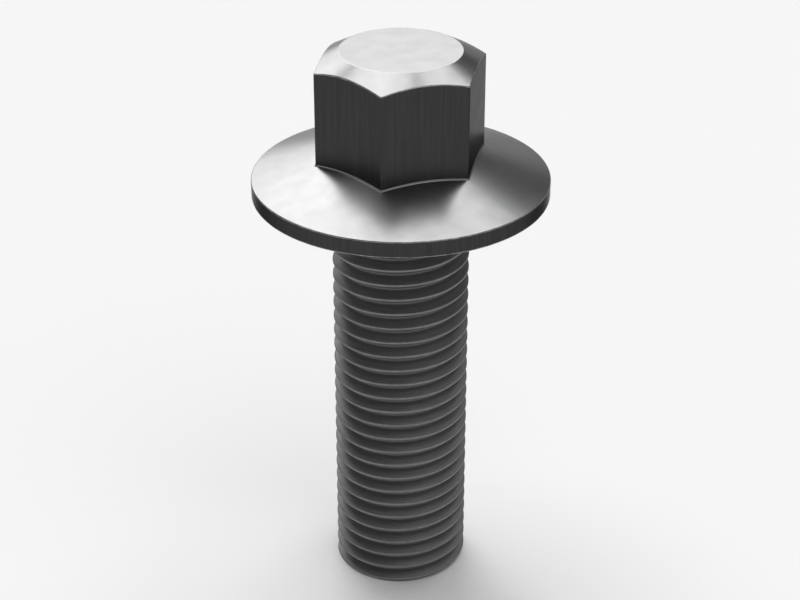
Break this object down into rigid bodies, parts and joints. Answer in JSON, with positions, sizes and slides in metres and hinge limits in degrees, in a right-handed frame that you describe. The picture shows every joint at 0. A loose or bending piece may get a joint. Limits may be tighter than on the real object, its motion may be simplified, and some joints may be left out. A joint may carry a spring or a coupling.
{
  "type": "hexagon flange bolt",
  "caption": "Hexagon flange bolt: chamfered hex head forged on a conical flange, over a straight right-hand threaded shank with a flat end.",
  "frame": {"origin": "centre of the flat end of the shank, on which the bolt stands", "axes": "+Z along the bolt's axis, from the flat end towards the head; two corners of the hexagon lie on the X axis"},
  "size_m": [0.0342, 0.0342, 0.0671],
  "materials": {
    "dark_steel": "black oxide steel with a satin oiled surface, smooth and even, slightly brighter along its sharp edges and thread crests"
  },
  "bodies": {
    "root": {"flange_bolt": "dark_steel"}
  },
  "joints": []
}
